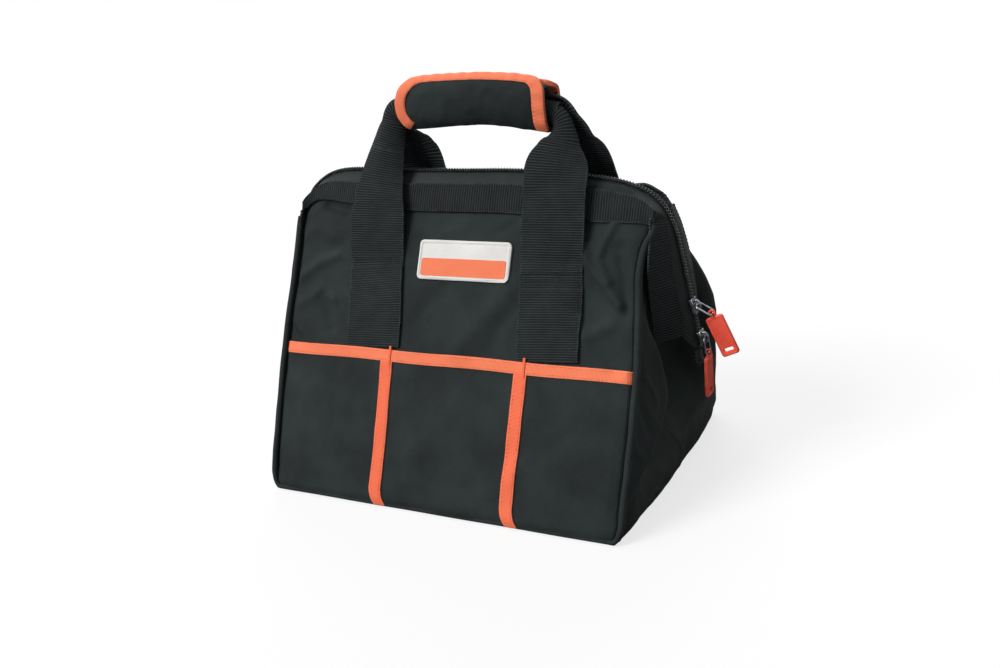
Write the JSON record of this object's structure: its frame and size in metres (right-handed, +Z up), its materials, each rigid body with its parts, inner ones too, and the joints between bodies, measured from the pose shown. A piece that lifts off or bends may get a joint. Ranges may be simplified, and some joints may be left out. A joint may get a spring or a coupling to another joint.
{
  "type": "tool bag",
  "caption": "Soft closed-top tool bag with a flat base, zipped mouth, webbing carrying straps, a padded wrap grip, front pockets and orange-edged trim.",
  "frame": {"origin": "centre of the base's underside", "axes": "+X along the bag's width to the right as seen from the front, +Y to the back, +Z up"},
  "size_m": [0.3786, 0.2311, 0.3056],
  "materials": {
    "charcoal_polyester": "woven, matt",
    "black_webbing": "ribbed webbing, matt",
    "orange_binding": "fine ribbed tape, matt",
    "black_lining": "smooth coated cloth",
    "grey_foam": "soft padding",
    "grey_board": "stiff sheet",
    "white_label": "woven label",
    "black_nylon_coil": "satin coil",
    "gunmetal": "dark plated",
    "orange_rubber": "satin moulded"
  },
  "bodies": {
    "base": {"base_panel": "charcoal_polyester", "base_board": "grey_board", "gusset_center_left": "charcoal_polyester", "gusset_center_right": "charcoal_polyester", "side_chain_left": "black_nylon_coil", "side_chain_right": "black_nylon_coil", "side_band_front_left": "black_webbing", "side_band_front_right": "black_webbing", "side_band_back_left": "black_webbing", "side_band_back_right": "black_webbing", "zip_end_tab_left": "black_webbing", "zip_end_tab_right": "black_webbing"},
    "front_wall": {"front_panel": "charcoal_polyester", "front_foam": "grey_foam", "front_lining": "black_lining", "front_piping_left": "charcoal_polyester", "front_piping_right": "charcoal_polyester", "front_band": "black_webbing", "front_zip_tape": "black_webbing", "front_zip_teeth": "black_nylon_coil", "front_gusset_left": "charcoal_polyester", "front_gusset_right": "charcoal_polyester", "front_strap_left": "black_webbing", "front_strap_right": "black_webbing", "front_pocket": "charcoal_polyester", "pocket_binding": "orange_binding", "pocket_tape_left": "orange_binding", "pocket_tape_right": "orange_binding", "label_patch": "white_label", "label_bar": "orange_binding"},
    "back_wall": {"back_panel": "charcoal_polyester", "back_foam": "grey_foam", "back_lining": "black_lining", "back_piping_left": "charcoal_polyester", "back_piping_right": "charcoal_polyester", "back_band": "black_webbing", "back_zip_tape": "black_webbing", "back_zip_teeth": "black_nylon_coil", "back_gusset_left": "charcoal_polyester", "back_gusset_right": "charcoal_polyester", "back_strap_left": "black_webbing", "back_strap_right": "black_webbing"},
    "front_legs": {"front_leg_left": "black_webbing", "front_leg_right": "black_webbing"},
    "back_legs": {"back_leg_left": "black_webbing", "back_leg_right": "black_webbing"},
    "grip": {"grip_strap_front": "black_webbing", "grip_strap_back": "black_webbing", "grip_foam": "grey_foam", "grip_wrap": "charcoal_polyester", "wrap_binding": "orange_binding"},
    "flap": {"wrap_flap": "charcoal_polyester", "flap_binding": "orange_binding"},
    "slider_upper": {"slider_upper": "gunmetal"},
    "ring_upper": {"pull_ring_upper": "gunmetal"},
    "tab_upper": {"pull_tab_upper": "orange_rubber"},
    "slider_lower": {"slider_lower": "gunmetal"},
    "ring_lower": {"pull_ring_lower": "gunmetal"},
    "tab_lower": {"pull_tab_lower": "orange_rubber"}
  },
  "joints": [
    {"name": "mouth_front", "type": "hinge", "parent": "base", "child": "front_wall", "pos_m": [0, -0.114, 0], "axis": [1, 0, 0], "range_deg": [0, 7]},
    {"name": "mouth_back", "type": "hinge", "parent": "base", "child": "back_wall", "pos_m": [0, 0.114, 0], "axis": [-1, 0, 0], "range_deg": [0, 7]},
    {"name": "straps_front", "type": "hinge", "parent": "front_wall", "child": "front_legs", "pos_m": [0, -0.01237, 0.22915], "axis": [-1, 0, 0], "range_deg": [0, 43.8]},
    {"name": "straps_back", "type": "hinge", "parent": "back_wall", "child": "back_legs", "pos_m": [0, 0.01237, 0.22915], "axis": [1, 0, 0], "range_deg": [0, 43.8]},
    {"name": "grip_turn", "type": "hinge", "parent": "front_legs", "child": "grip", "pos_m": [0, -0.005, 0.2796], "axis": [1, 0, 0], "range_deg": [0, 36.8]},
    {"name": "wrap_open", "type": "hinge", "parent": "grip", "child": "flap", "pos_m": [0, -0.007, 0.264], "axis": [1, 0, 0], "range_deg": [0, 75]},
    {"name": "slider_upper_travel", "type": "slide", "parent": "base", "child": "slider_upper", "axis": [-0.2016, 0, 0.9795], "range_m": [0, 0.055]},
    {"name": "slider_lower_travel", "type": "slide", "parent": "base", "child": "slider_lower", "axis": [-0.2016, 0, 0.9795], "range_m": [0, 0.004]},
    {"name": "ring_upper_swing", "type": "hinge", "parent": "slider_upper", "child": "ring_upper", "pos_m": [0.17302, 0, 0.13695], "axis": [0, -1, 0], "range_deg": [0, 75]},
    {"name": "tab_upper_swing", "type": "hinge", "parent": "ring_upper", "child": "tab_upper", "pos_m": [0.18317, 0, 0.13155], "axis": [0, -1, 0], "range_deg": [0, 30]},
    {"name": "ring_lower_swing", "type": "hinge", "parent": "slider_lower", "child": "ring_lower", "pos_m": [0.17796, 0, 0.11295], "axis": [0, -1, 0], "range_deg": [0, 12]},
    {"name": "tab_lower_swing", "type": "hinge", "parent": "ring_lower", "child": "tab_lower", "pos_m": [0.17956, 0, 0.10156], "axis": [0, -1, 0], "range_deg": [0, 12]}
  ],
  "couplings": [
    {"joint": "mouth_back", "follows": "mouth_front", "ratio": 1},
    {"joint": "straps_front", "follows": "mouth_front", "ratio": 6.241},
    {"joint": "straps_back", "follows": "mouth_front", "ratio": 6.241},
    {"joint": "grip_turn", "follows": "mouth_front", "ratio": 5.241}
  ]
}
